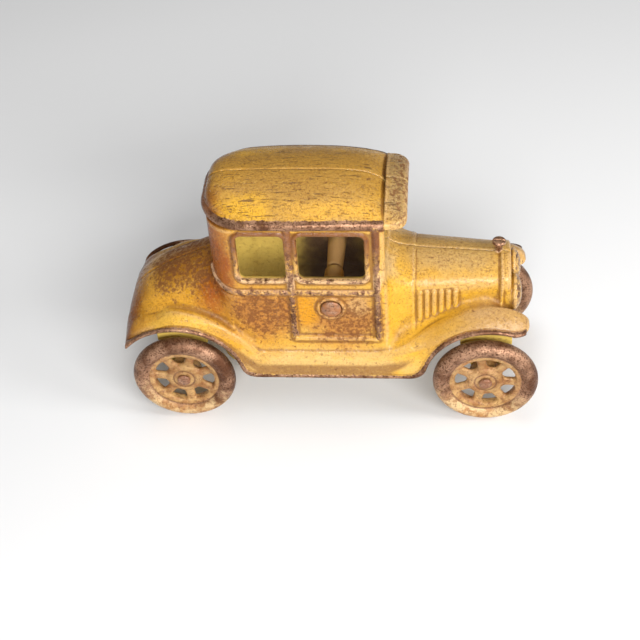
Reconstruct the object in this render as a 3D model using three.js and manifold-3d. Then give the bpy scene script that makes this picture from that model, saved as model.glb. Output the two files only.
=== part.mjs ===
// Cast iron toy coupe: two hollow body halves held by one rivet, on four spoked wheels and two loose axles.
// Millimetres. +X is the front of the car, +Y its left side, +Z up, and the tyres stand on z = 0.
// The body is drawn with the axle line at z = 0 and raised by the wheel radius at the end.

import * as THREE from 'three';
import { mergeVertices } from 'three/addons/utils/BufferGeometryUtils.js';
import Module from 'manifold-3d';

// Clearances
const partingGap = 0.3;
const boreClearance = 0.3;
const sideFloat = 0.4;

// Running gear
const wheelRadius = 20.5;
const wheelbase = 119;
const tyreRadius = 3.4;
const tyreProud = 2.4;
const rimWeb = 2.2;
const hubRadius = 5;
const hubProud = 1.6;
const spokeCount = 7;
const spokeWidth = 3.4;
const rimWidth = 1.5;
const wheelFacets = 24;
const axleRadius = 1.6;
const axleHeadRadius = 2.6;
const axleHeadLength = 1.1;
const axleHeadRound = 0.5;
const frontWheelTurn = 74;
const rearWheelTurn = 98;

// Casting
const wall = 2.4;
const cabHalf = 22;
const cabLength = 66.1;
const cabFront = 21.5;
const cabRearRadius = 11;
const cabFrontRadius = 2.5;

// Roof
const roofHeight = 83.8;
const roofRise = 6.5;
const roofFrontFall = 4;
const roofFrontRise = 5.2;
const roofRearFall = 1.1;
const roofBarrel = 2.8;
const roofOverhang = 2.7;
const roofRearOverhang = 1.9;
const roofFrontOverhang = 2;
const roofRearRadius = 14;
const roofFrontRadius = 4;
const roofEdgeRadius = 4.5;
const bandRadius = 2;
const visorLength = 6.3;
const visorFall = 2.3;
const visorCamber = 5;
const visorThickness = 2.4;
const visorStep = 0.5;

// Hood, cowl and radiator
const hoodHeightRear = 46.8;
const hoodHeightFront = 44.1;
const hoodHalfRear = 15.8;
const hoodHalfFront = 12;
const shoulderHeight = 41.3;
const shoulderFall = 0.9;
const shoulderRadius = 2;
const hoodBottom = 14;
const radiatorReach = 9;
const radiatorLength = 4;
const shellStep = 0.45;
const cowlLength = 10.5;
const cowlRise = 2.8;

// Rear deck
const deckHeight = 47.9;
const deckSlope = 0.42;
const deckCrown = 0.027;
const tailReach = 23.1;
const tailBottom = 13.5;
const tailCurve = 0.02;
const deckSoftness = 6;

// Fenders and running boards
const boardWidth = 4.7;
const boardBottom = 0.7;
const boardCrest = 13.5;
const boardRoot = 17.6;
const boardEdgeWidth = 1.7;
const boardEdgeDrop = 4.5;
const rearEdgeGrowth = 0.22;
const frontEdgeWidth = 8.7;
const fenderEdgeDrop = 5.6;
const rootFillet = 3;
const rootFilletRise = 1.2;
const archGap = 4.5;
const archFillet = 5;
const frontArchShift = 1.5;
const rearArchShift = 1.2;
const rearFenderDepth = 5.8;
const frontFenderDepth = 6.6;
const rearRootDrop = 0.5;
const rearRootInset = 4;
const frontRootDrop = 1;
const rearFenderLead = 1.5;
const frontSweepLength = 46;
const sweepSoftness = 7;
const noseReach = 16.3;
const noseBottom = 23.5;
const noseCurve = 0.09;
const noseRootLead = 3;
const noseRootReach = 10;
const noseRootFall = 9;
const tailCornerRadius = 2.5;
const noseCornerRadius = 6;
const lipRadius = 0.9;
const lipRise = 1.2;

// Windows, pillars and belt
const sillHeight = 48.6;
const windowTop = 69.8;
const windowCorner = 2;
const frameWidth = 1.4;
const frameProud = 0.5;
const pillarInset = 3.2;
const doorLength = 32.3;
const doorWindowFrontMargin = 4.4;
const doorWindowRearMargin = 3.3;
const quarterFrontMargin = 1.6;
const quarterPost = 11.6;
const beltHeight = 42;
const beltSweep = 6;
const doorBottom = 19.3;
const beadRadius = 1.2;
const beadProud = 0.7;
const screenPost = 4.5;
const rearWindowHalf = 8.5;
const rearWindowHeight = 12;

// Lamps, louvres, cap and rivet
const lampRadius = 7;
const lampHeight = 30.2;
const lampGap = 0.8;
const lampRim = 1;
const lampDome = 2.7;
const lampBowl = 8;
const louvreCount = 6;
const louvrePitch = 2.7;
const louvreRadius = 0.9;
const louvreTop = 37.3;
const louvreBottomRear = 23.2;
const louvreBottomFront = 29.3;
const louvreSetback = 2;
const capRadius = 2.7;
const capHeight = 5.8;
const rivetX = 0.5;
const rivetHeight = 34.3;
const rivetRadius = 1.9;
const rivetHeadRadius = 3.9;
const rivetHeadRise = 1.3;
const rivetRingWidth = 1;
const rivetRingProud = 0.9;
const postDraft = 0.8;
const rightPostWall = 1.5;
const leftPostWall = 0.9;

// Axle hangers under the fenders
const hangerWidth = 20;
const hangerDrop = 13;
const hangerBoss = 5;
const hangerInset = 7.2;

// Places worked out from the sizes above
const frontAxleX = wheelbase / 2;
const rearAxleX = -wheelbase / 2;
const cabRear = cabFront - cabLength;
const skirtHalf = cabHalf + boardWidth;
const trackHalf = skirtHalf + tyreProud - tyreRadius;
const hangerOuter = skirtHalf - hangerInset;
const hubInner = hangerOuter + sideFloat;
const hubOuter = trackHalf + hubProud;
const archRadius = wheelRadius + archGap;
const frontArchX = frontAxleX + frontArchShift;
const rearArchX = rearAxleX - rearArchShift;
const tailEnd = rearAxleX - tailReach;
const noseEnd = frontAxleX + noseReach;
const radiatorFront = frontAxleX + radiatorReach;
const hoodRear = cabFront + cowlLength;
const roofHalf = cabHalf + roofOverhang;
const roofRear = cabRear - roofRearOverhang;
const roofFront = cabFront + roofFrontOverhang;
const roofPeak = (cabRear + cabFront) / 2;
const doorFront = cabFront - pillarInset;
const doorRear = doorFront - doorLength;
const lampY = lampRadius + lampGap / 2;
const far = 60;

const wasm = await Module();
wasm.setup();

const vec = (x, y, z) => new THREE.Vector3(x, y, z);
const mix = THREE.MathUtils.lerp;
const clamp = THREE.MathUtils.clamp;

// Smooth minimum and maximum of two heights, rounded over the given softness
function softMin(a, b, softness) {
  const overlap = Math.max(softness - Math.abs(a - b), 0) / softness;
  return Math.min(a, b) - overlap * overlap * softness / 4;
}

function softMax(a, b, softness) {
  return -softMin(-a, -b, softness);
}

// Closed solid from a geometry whose shared vertices are merged
function solid(geometry) {
  geometry.deleteAttribute('normal');
  geometry.deleteAttribute('uv');
  const merged = mergeVertices(geometry, 1e-4);
  const vertProperties = new Float32Array(merged.attributes.position.array);
  const triVerts = new Uint32Array(merged.index.array);
  return new wasm.Manifold(new wasm.Mesh({ numProp: 3, vertProperties, triVerts }));
}

function join(solids) {
  return solids.reduce((sum, next) => sum.add(next));
}

// Body through rings that stand across the car, each a loop of as many points, flat at both ends
function loft(rings) {
  const count = rings[0].length;
  const position = rings.flat().flatMap((p) => [p.x, p.y, p.z]);
  const index = [];
  for (let ring = 0; ring + 1 < rings.length; ring++) {
    for (let i = 0; i < count; i++) {
      const a = ring * count + i;
      const b = ring * count + (i + 1) % count;
      index.push(a, a + count, b, b, a + count, b + count);
    }
  }
  for (const [ring, first] of [[rings[0], 0], [rings.at(-1), (rings.length - 1) * count]]) {
    const centre = ring.reduce((sum, p) => sum.add(p), vec(0, 0, 0)).divideScalar(count);
    const middle = position.push(centre.x, centre.y, centre.z) / 3 - 1;
    for (let i = 0; i < count; i++) {
      const edge = [first + i, first + (i + 1) % count];
      if (first > 0) edge.reverse();
      index.push(...edge, middle);
    }
  }
  const geometry = new THREE.BufferGeometry();
  geometry.setAttribute('position', new THREE.Float32BufferAttribute(position, 3));
  geometry.setIndex(index);
  return solid(geometry);
}

function slab(shape, depth, curveSegments) {
  return new THREE.ExtrudeGeometry(shape, { depth, curveSegments, bevelEnabled: false });
}

// Plate cut from a side view outline (x along the car, y up), between two distances from the centre plane
function sidePlate(shape, inner, outer) {
  const geometry = slab(shape, outer - inner, 3);
  geometry.applyMatrix4(new THREE.Matrix4().makeBasis(vec(1, 0, 0), vec(0, 0, 1), vec(0, -1, 0)));
  return solid(geometry.translate(0, outer, 0));
}

// Plate cut from a front view outline (x across the car, y up), between two places along the car
function frontPlate(shape, back, front) {
  const geometry = slab(shape, front - back, 3);
  geometry.applyMatrix4(new THREE.Matrix4().makeBasis(vec(0, 1, 0), vec(0, 0, 1), vec(1, 0, 0)));
  return solid(geometry.translate(back, 0, 0));
}

function roundedRectangle(left, bottom, right, top, radius) {
  const shape = new THREE.Shape();
  shape.absarc(left + radius, bottom + radius, radius, Math.PI, Math.PI * 1.5);
  shape.absarc(right - radius, bottom + radius, radius, Math.PI * 1.5, Math.PI * 2);
  shape.absarc(right - radius, top - radius, radius, 0, Math.PI / 2);
  shape.absarc(left + radius, top - radius, radius, Math.PI / 2, Math.PI);
  return shape;
}

// Round bead along a curve
function bead(curve, radius, steps) {
  const section = new THREE.Shape();
  section.absarc(0, 0, radius, 0, Math.PI * 2);
  return solid(new THREE.ExtrudeGeometry(section, { extrudePath: curve, steps, curveSegments: 3 }));
}

// Turned piece: profile points of radius and distance along Y, X or Z
function turned(profile, segments, axis) {
  const geometry = new THREE.LatheGeometry(profile.map(([r, t]) => new THREE.Vector2(r, t)), segments);
  if (axis === 'x') geometry.rotateZ(-Math.PI / 2);
  if (axis === 'z') geometry.rotateX(Math.PI / 2);
  return geometry;
}

// Half width of a plan outline with a rounded rear corner, at a place along the car
function planHalf(x, rear, half, radius) {
  const reach = clamp(x - rear, 0, radius);
  return half - radius + Math.sqrt(reach * (2 * radius - reach));
}

// Places from one end to the other, closer together at the ends that curve
function stations(from, to, count, ease) {
  return Array.from({ length: count + 1 }, (_, i) => mix(from, to, ease(i / count)));
}

const easeStart = (t) => t * t;
const easeEnd = (t) => 1 - easeStart(1 - t);
const even = (t) => t;
const quarterRound = (t) => Math.sqrt(easeEnd(t));
const swing = (t) => (1 - Math.cos(Math.PI * clamp(t, 0, 1))) / 2;

// Hood and cowl: a crowned arch that flares from the radiator to the cab
function hoodAlong(x) {
  return clamp((x - hoodRear) / (radiatorFront - hoodRear), 0, 1);
}

function hoodHalfAt(x) {
  return mix(hoodHalfRear, hoodHalfFront, hoodAlong(x));
}

function hoodRing(x, grow, bottom) {
  const flare = clamp((hoodRear - x) / cowlLength, 0, 1) ** 2;
  const half = hoodHalfAt(x) + (cabHalf - hoodHalfRear) * flare + grow;
  const top = mix(hoodHeightRear, hoodHeightFront, hoodAlong(x)) + cowlRise * flare + grow;
  const inner = half - shoulderRadius;
  const edge = shoulderHeight - shoulderFall * hoodAlong(x) + cowlRise * flare + grow;
  const ring = [vec(x, -partingGap, bottom), vec(x, -partingGap, top)];
  for (let i = 1; i <= 4; i++) ring.push(vec(x, inner * i / 4, mix(top, edge, easeStart(i / 4))));
  const corner = new THREE.QuadraticBezierCurve(
    new THREE.Vector2(inner, edge),
    new THREE.Vector2(half, edge - shoulderRadius * 0.5),
    new THREE.Vector2(half, edge - shoulderRadius * 1.6));
  for (const p of corner.getPoints(3).slice(1)) ring.push(vec(x, p.x, p.y));
  ring.push(vec(x, half, bottom));
  return ring;
}

function hoodLoft(inset, bottom) {
  const front = radiatorFront - inset;
  const shell = radiatorFront - radiatorLength;
  const places = [
    ...stations(cabFront - 2 * wall, hoodRear - shellStep, 4, even).map((x) => [x, shellStep]),
    [hoodRear, 0],
    [mix(hoodRear, shell, 0.5), 0],
    [shell - shellStep, 0],
    [shell, shellStep],
    [front, shellStep],
  ];
  return loft(places.map(([x, grow]) => hoodRing(x, grow - inset, bottom)));
}

// Rear deck: slopes from the cab, crowned across, and rolls over into the tail
function tailHeight(x, inset) {
  return tailBottom + Math.sqrt(Math.max(x - tailEnd - inset, 0) / tailCurve);
}

function deckTop(x, y, inset) {
  const top = deckHeight + deckSlope * (x - cabRear) - deckCrown * y * y - inset;
  return softMin(top, tailHeight(x, inset) - inset / 2, deckSoftness);
}

function deckLoft(inset, bottom) {
  const half = cabHalf - 1 - inset;
  const ringAt = (x) => {
    const ring = [vec(x, -partingGap, bottom)];
    for (let i = 0; i <= 6; i++) {
      const y = half * i / 6;
      const z = Math.max(deckTop(x, y, inset), bottom + wall / 4);
      ring.push(vec(x, i === 0 ? -partingGap : y, z));
    }
    ring.push(vec(x, half, bottom));
    return ring;
  };
  const start = cabRear + 2 * wall;
  return loft(stations(tailEnd + inset, start, 9, easeStart).map(ringAt));
}

// Share of the rear and of the front fender's section at a place along the car, the rest being running board
function rearShare(x) {
  return swing((cabRear + cabRearRadius - x) / cabRearRadius);
}

function frontShare(x) {
  return swing((x - cabFront) / (2 * cowlLength));
}

// Half width of the skirt in plan, drawn in round the tail and the nose
function skirtAt(x) {
  const tail = quarterRound(clamp((x - tailEnd) / tailCornerRadius, 0, 1));
  const nose = quarterRound(clamp((noseEnd - x) / noseCornerRadius, 0, 1));
  return skirtHalf - tailCornerRadius * (1 - tail) - noseCornerRadius * (1 - nose);
}

// Fenders and running board: one sweep, round over the rear wheel and long and easy up to the front one
function sweepHeight(x, low, rearRadius, frontRadius) {
  const over = (centre, radius) => Math.sqrt(Math.max(radius * radius - (x - centre) ** 2, 0));
  if (x < 0) return softMax(low, over(rearAxleX + rearFenderLead, rearRadius), sweepSoftness);
  if (x > frontArchX) return over(frontArchX, frontRadius);
  return mix(frontRadius, low, swing((frontArchX - x) / frontSweepLength));
}

function crestHeight(x) {
  return sweepHeight(x, boardCrest, archRadius + rearFenderDepth, archRadius + frontFenderDepth);
}

function rootHeight(x) {
  const rearRadius = archRadius + rearFenderDepth - rearRootDrop;
  const fall = noseRootFall * easeStart(clamp((x - frontArchX + noseRootLead) / noseRootReach, 0, 1));
  return sweepHeight(x, boardRoot, rearRadius, archRadius + frontFenderDepth - frontRootDrop) - fall;
}

// Upper surface across the car, from its root at the body side over the crest and down to the skirt
function apronProfile(x) {
  const skirt = skirtAt(x);
  const noseHeight = noseBottom + Math.sqrt(Math.max(noseEnd - x, 0) / noseCurve);
  const cap = Math.min(tailHeight(x, 0), noseHeight);
  const growth = rearEdgeGrowth * Math.max(cabRear + 2 * wall - x, 0);
  const edgeWidth = mix(boardEdgeWidth, frontEdgeWidth, frontShare(x)) + growth;
  const edgeDrop = mix(boardEdgeDrop, fenderEdgeDrop, rearShare(x) + frontShare(x));
  const crest = skirt - edgeWidth;
  const root = Math.min(apronRoot(x), crest - wall / 2);
  const level = (y) => {
    const line = mix(rootHeight(x), crestHeight(x), (y - root) / (crest - root));
    const fillet = rootFilletRise * clamp(1 - (y - root) / rootFillet, 0, 1) ** 2;
    return softMin(line + fillet, cap, deckSoftness);
  };
  const profile = [0, 0.3, 0.65, 1].map((t) => mix(root, crest, t)).map((y) => [y, level(y)]);
  for (const t of [0.4, 0.75, 1]) {
    profile.push([mix(crest, skirt, t), level(crest) - edgeDrop * easeStart(t)]);
  }
  return profile;
}

// The same surface moved inwards by the wall, further down where the sweep is steep
function apronHollow(x) {
  const profile = apronProfile(x);
  const slope = crestHeight(x + 0.5) - crestHeight(x - 0.5);
  const stretch = Math.min(Math.hypot(1, slope), 2.5);
  return profile.map(([y, z], i) => {
    const before = profile[Math.max(i - 1, 0)];
    const after = profile[Math.min(i + 1, profile.length - 1)];
    const normal = new THREE.Vector2(before[1] - after[1], after[0] - before[0]).normalize();
    return [y - wall * normal.x, z - wall * normal.y * stretch];
  });
}

function apronLoft(profileAt, inset, inner, bottom) {
  const roundEnd = cabRear + cabRearRadius + wall;
  const places = [
    ...stations(tailEnd + inset, rearAxleX, 6, easeStart),
    ...stations(rearAxleX, roundEnd, 5, even).slice(1),
    ...stations(roundEnd, cabFront, 2, even).slice(1),
    ...stations(cabFront, frontAxleX, 6, even).slice(1),
    ...stations(frontAxleX, noseEnd - inset, 5, easeEnd).slice(1),
  ];
  return loft(places.map((x) => {
    const profile = profileAt(x);
    const [rootY, rootZ] = profile[0];
    const skirtY = profile.at(-1)[0];
    const innerY = rootY - inner;
    const innerZ = Math.min(rootZ, deckTop(x, innerY, inset) - wall / 4);
    const loop = [[innerY, bottom], [innerY, innerZ], ...profile, [skirtY, bottom]];
    return loop.map(([y, z]) => vec(x, y, Math.max(z, bottom)));
  }));
}

function apronRoot(x) {
  const toFront = clamp((x - cabFront) / cowlLength, 0, 1);
  const toRear = clamp((cabRear + cabRearRadius - x) / cabRearRadius, 0, 1);
  return mix(mix(cabHalf, hoodHalfAt(x), easeEnd(toFront)), cabHalf - rearRootInset, toRear);
}

// Skirt edge in side view: over the wheel arch, round the fillet and along the running board
function edgeOutline(axleX, outward, endX, endBottom) {
  const filletX = Math.sqrt((archRadius + archFillet) ** 2 - (boardBottom + archFillet) ** 2);
  const archEnd = Math.atan2(boardBottom + archFillet, filletX);
  const archStart = Math.PI - Math.asin(endBottom / archRadius);
  const points = [new THREE.Vector2(endX, endBottom)];
  for (let i = 0; i <= 12; i++) {
    const angle = mix(archStart, archEnd, i / 12);
    const x = axleX - outward * archRadius * Math.cos(angle);
    points.push(new THREE.Vector2(x, archRadius * Math.sin(angle)));
  }
  for (let i = 1; i <= 4; i++) {
    const angle = mix(archEnd, Math.PI / 2, i / 4);
    const x = axleX - outward * (filletX - archFillet * Math.cos(angle));
    points.push(new THREE.Vector2(x, boardBottom + archFillet * (1 - Math.sin(angle))));
  }
  return points;
}

const rearEdge = edgeOutline(rearArchX, -1, tailEnd - wall, tailBottom);
const frontEdge = edgeOutline(frontArchX, 1, noseEnd + wall, noseBottom);

// Everything under the skirt edge between the middle of the car and one end
function underCut(edge) {
  const shape = new THREE.Shape();
  shape.setFromPoints([
    ...edge,
    new THREE.Vector2(0, boardBottom),
    new THREE.Vector2(0, -far),
    new THREE.Vector2(edge[0].x, -far),
  ]);
  return sidePlate(shape, -far, far);
}

// Cab: upright walls with round rear corners
function cabPlan(inset) {
  const rear = cabRear + inset;
  const front = cabFront - inset;
  const half = cabHalf - inset;
  const rearRadius = cabRearRadius - inset;
  const frontRadius = Math.max(cabFrontRadius - inset, 0.5);
  const shape = new THREE.Shape();
  shape.moveTo(rear, -partingGap);
  shape.lineTo(front, -partingGap);
  shape.absarc(front - frontRadius, half - frontRadius, frontRadius, 0, Math.PI / 2);
  shape.absarc(rear + rearRadius, half - rearRadius, rearRadius, Math.PI / 2, Math.PI);
  return shape;
}

function cabBlock(inset, bottom, top) {
  return solid(slab(cabPlan(inset), top - bottom, 5).translate(0, 0, bottom));
}

// Roof: a low dome inside a round edge band, widest and highest amidships
function roofHalfAt(x) {
  const barrel = roofBarrel * ((x - roofPeak) / (roofFront - roofPeak)) ** 2;
  const rear = planHalf(x, roofRear, roofHalf, roofRearRadius);
  return Math.min(rear, planHalf(-x, -roofFront, roofHalf, roofFrontRadius)) - barrel;
}

function roofSeam(x) {
  const ahead = Math.max(x - roofPeak, 0) / (roofFront - roofPeak);
  const behind = Math.max(roofPeak - x, 0) / (roofPeak - roofRear);
  return roofHeight - roofFrontFall * ahead ** 4 - roofRearFall * behind ** 2;
}

function roofRiseAt(x) {
  const ahead = Math.max(x - roofPeak, 0) / (roofFront - roofPeak);
  return mix(roofRise, roofFrontRise, ahead ** 4);
}

function bandHeight(x) {
  return roofSeam(x) - roofRiseAt(x) - bandRadius;
}

function roofTop(x, y) {
  const behind = clamp((x - roofRear) / roofEdgeRadius, 0, 1);
  const rise = roofRiseAt(x) * quarterRound(behind);
  return bandHeight(x) + bandRadius + rise * (1 - (y / roofHalfAt(x)) ** 2);
}

function roofRing(x) {
  const half = roofHalfAt(x);
  const middle = bandHeight(x);
  const ring = [vec(x, -partingGap, middle - bandRadius)];
  for (let i = 0; i <= 6; i++) {
    const y = (half - bandRadius / 2) * i / 6;
    ring.push(vec(x, i === 0 ? -partingGap : y, roofTop(x, y)));
  }
  for (const turn of [Math.PI / 5, 0, -Math.PI / 5]) {
    ring.push(vec(x, half - bandRadius * (1 - Math.cos(turn)), middle + bandRadius * Math.sin(turn)));
  }
  ring.push(vec(x, half - bandRadius, middle - bandRadius));
  return ring;
}

function roofLoft() {
  const places = [
    ...stations(roofRear, roofRear + roofRearRadius, 6, easeStart),
    ...stations(roofRear + roofRearRadius, roofFront - roofFrontRadius, 4, even).slice(1),
    ...stations(roofFront - roofFrontRadius, roofFront, 3, easeEnd).slice(1),
  ];
  return loft(places.map(roofRing));
}

// Hollow of the cab, up to the underside of the roof
function cabHollow() {
  const ringAt = (x) => {
    const half = planHalf(x, cabRear + wall, cabHalf - wall, cabRearRadius - wall);
    const ring = [vec(x, -far, -far), vec(x, -far, roofTop(x, 0) - wall)];
    for (let i = 1; i <= 3; i++) ring.push(vec(x, half * i / 3, roofTop(x, half * i / 3) - wall));
    ring.push(vec(x, half, -far));
    return ring;
  };
  const roundEnd = cabRear + cabRearRadius;
  const places = [
    ...stations(cabRear + wall, roundEnd, 4, easeStart),
    ...stations(roundEnd, cabFront - wall, 3, even).slice(1),
  ];
  return loft(places.map(ringAt));
}

function visorLoft() {
  const seamTop = roofTop(roofFront, 0) + visorStep;
  const ringAt = ([x, fall, half]) => {
    const ring = [];
    for (let i = 0; i <= 4; i++) {
      ring.push(vec(x, i === 0 ? -partingGap : half * i / 4, seamTop - fall - visorCamber * (i / 4) ** 2));
    }
    for (let i = 4; i >= 0; i--) {
      const y = i === 4 ? half - visorThickness / 2 : half * i / 4;
      const low = seamTop - fall - visorCamber * (i / 4) ** 2 - visorThickness;
      ring.push(vec(x, i === 0 ? -partingGap : y, low));
    }
    return ring;
  };
  const half = roofHalf - roofBarrel;
  return loft([
    [roofFront - visorThickness, 0, half],
    [roofFront, 0, half],
    [roofFront + visorLength * 0.8, visorFall * 0.7, half - visorStep],
    [roofFront + visorLength, visorFall, half - 2 * bandRadius],
  ].map(ringAt));
}

// Cast-on details of one side: lamp, radiator cap, louvres, beads, window frames and the ring for the rivet
function lamp() {
  const back = radiatorFront + lampGap;
  const face = back + lampRim;
  const profile = [
    [0, back - lampBowl],
    [lampRadius * 0.55, back - lampBowl * 0.75],
    [lampRadius * 0.85, back - lampBowl * 0.3],
    [lampRadius * 0.94, back],
    [lampRadius, back],
    [lampRadius, face],
    [lampRadius * 0.85, face + lampDome * 0.45],
    [lampRadius * 0.55, face + lampDome * 0.82],
    [0, face + lampDome],
  ];
  return solid(turned(profile, 14, 'x').translate(0, lampY, lampHeight));
}

function radiatorCap() {
  const neck = capRadius * 0.7;
  const profile = [
    [0, -wall],
    [neck, -wall],
    [neck, capHeight * 0.5],
    [capRadius, capHeight * 0.55],
    [capRadius, capHeight * 0.85],
    [neck, capHeight],
    [0, capHeight],
  ];
  const x = radiatorFront - radiatorLength - capRadius / 4;
  return solid(turned(profile, 12, 'z').translate(x, 0, hoodHeightFront));
}

function louvres() {
  return Array.from({ length: louvreCount }, (_, i) => {
    const x = hoodRear + louvreSetback + i * louvrePitch;
    const bottom = mix(louvreBottomRear, louvreBottomFront, i / (louvreCount - 1));
    const geometry = new THREE.CapsuleGeometry(louvreRadius, louvreTop - bottom - 2 * louvreRadius, 1, 6);
    geometry.rotateX(Math.PI / 2);
    return solid(geometry.translate(x, hoodHalfAt(x), (louvreTop + bottom) / 2));
  });
}

function beltCurve() {
  const y = cabHalf - beadRadius + beadProud;
  const cornerX = cabRear + cabRearRadius;
  const cornerY = cabHalf - cabRearRadius;
  const cornerRadius = cabRearRadius - beadRadius + beadProud;
  const points = [doorFront, doorRear, cornerX + wall].map((x) => vec(x, y, beltHeight));
  for (let i = 1; i <= 5; i++) {
    const angle = mix(Math.PI / 2, Math.PI, i / 6);
    const x = cornerX + cornerRadius * Math.cos(angle);
    points.push(vec(x, cornerY + cornerRadius * Math.sin(angle), beltHeight + beltSweep * (i / 5) ** 2));
  }
  return new THREE.CatmullRomCurve3(points);
}

function beads() {
  const y = cabHalf - beadRadius + beadProud;
  const pillar = (x) => new THREE.LineCurve3(vec(x, y, doorBottom), vec(x, y, bandHeight(x)));
  const sill = new THREE.LineCurve3(vec(doorRear, y, doorBottom), vec(doorFront, y, doorBottom));
  return [
    bead(pillar(doorRear), beadRadius, 1),
    bead(pillar(doorFront), beadRadius, 1),
    bead(sill, beadRadius, 1),
    bead(beltCurve(), beadRadius, 14),
  ];
}

const sideWindows = [
  [doorRear + doorWindowRearMargin, doorFront - doorWindowFrontMargin],
  [cabRear + quarterPost, doorRear - quarterFrontMargin],
];

function windowFrames() {
  return sideWindows.map(([left, right]) => sidePlate(
    roundedRectangle(left - frameWidth, sillHeight - frameWidth, right + frameWidth, windowTop + frameWidth,
      windowCorner + frameWidth), cabHalf - wall / 2, cabHalf + frameProud));
}

function fenderLip() {
  const along = [...rearEdge.slice(1), ...frontEdge.slice(1).reverse()];
  const points = along.map((p) => vec(p.x, skirtAt(p.x) - lipRadius / 2, p.y + lipRise));
  return bead(new THREE.CatmullRomCurve3(points, false, 'centripetal'), lipRadius, 24);
}

function rivetRing() {
  const radius = rivetHeadRadius + boreClearance + rivetRingWidth;
  const profile = [[0, -wall / 2], [radius, -wall / 2], [radius - 0.2, rivetRingProud], [0, rivetRingProud]];
  return solid(turned(profile, 20, 'y').translate(rivetX, cabHalf, rivetHeight));
}

// Axle hanger: a web under the fender, just inside the wheel, that carries the axle
function hanger(axleX) {
  const half = hangerWidth / 2;
  const shape = new THREE.Shape();
  shape.moveTo(axleX - half, far);
  shape.lineTo(axleX - half, hangerDrop);
  shape.absarc(axleX, 0, hangerBoss, Math.PI * 1.1, Math.PI * 1.9);
  shape.lineTo(axleX + half, hangerDrop);
  shape.lineTo(axleX + half, far);
  return sidePlate(shape, hangerOuter - wall, hangerOuter);
}

function post(postWall) {
  const tip = rivetRadius + boreClearance + postWall;
  const profile = [[0, 0], [tip, 0], [tip + postDraft, cabHalf - wall / 2], [0, cabHalf - wall / 2]];
  return solid(turned(profile, 16, 'y').translate(rivetX, 0, rivetHeight));
}

function bore(x, z, radius, inner, outer) {
  const geometry = new THREE.CylinderGeometry(radius, radius, outer - inner, 16);
  return solid(geometry.translate(x, (inner + outer) / 2, z));
}

function box(x0, y0, z0, x1, y1, z1) {
  const geometry = new THREE.BoxGeometry(x1 - x0, y1 - y0, z1 - z0);
  return solid(geometry.translate((x0 + x1) / 2, (y0 + y1) / 2, (z0 + z1) / 2));
}

// One half of the body, drawn on the left side of the car
function bodyHalf(postWall) {
  const arches = underCut(rearEdge).add(underCut(frontEdge));
  const apron = apronLoft(apronProfile, 0, wall, -far).subtract(arches);
  const deck = deckLoft(0, tailBottom).subtract(arches);
  const cab = cabBlock(0, boardRoot - wall, bandHeight(cabFront) - bandRadius / 2);
  const skin = join([hoodLoft(0, hoodBottom), deck, apron, cab]);
  const trim = [...louvres(), ...windowFrames(), ...beads(), rivetRing(), fenderLip()];
  const outer = join([skin, roofLoft(), visorLoft(), lamp(), radiatorCap(), ...trim]);
  const radiatorRoom = box(radiatorFront - wall, -far, -far, far * 2, hoodHalfFront + wall, far);
  const underFenders = apronLoft(apronHollow, wall, 1.2 * wall, -far).subtract(radiatorRoom);
  const hollow = join([hoodLoft(wall, -far), deckLoft(wall, -far), underFenders, cabHollow()]);
  const below = box(tailEnd, -far, -far, noseEnd, far, archRadius);
  const hangers = [rearAxleX, frontAxleX].map((x) => hanger(x).intersect(skin.add(below)));
  const shell = join([outer.subtract(hollow), ...hangers, post(postWall)]);
  const glass = sideWindows.map(([left, right]) => sidePlate(
    roundedRectangle(left, sillHeight, right, windowTop, windowCorner), cabHalf - 2 * wall, far));
  const screenHalf = cabHalf - screenPost;
  const screenBottom = hoodHeightRear + cowlRise + wall / 2;
  const screen = frontPlate(
    roundedRectangle(-screenHalf, screenBottom, screenHalf, windowTop, windowCorner),
    cabFront - 2 * wall, roofFront);
  const rearGlass = frontPlate(
    roundedRectangle(-rearWindowHalf, windowTop - rearWindowHeight, rearWindowHalf, windowTop, windowCorner),
    roofRear, cabRear + 2 * wall);
  const axleBore = axleRadius + boreClearance;
  const bores = [
    bore(rivetX, rivetHeight, rivetRadius + boreClearance, -far, far),
    bore(rivetX, rivetHeight, rivetHeadRadius + boreClearance, cabHalf, far),
    ...[rearAxleX, frontAxleX].map((x) => bore(x, 0, axleBore, hangerOuter - 2 * wall, far)),
  ];
  const otherSide = box(-far * 2, -far * 2, -far, far * 2, partingGap / 2, far * 2);
  return shell.subtract(join([...glass, screen, rearGlass, ...bores, otherSide]));
}

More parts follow.
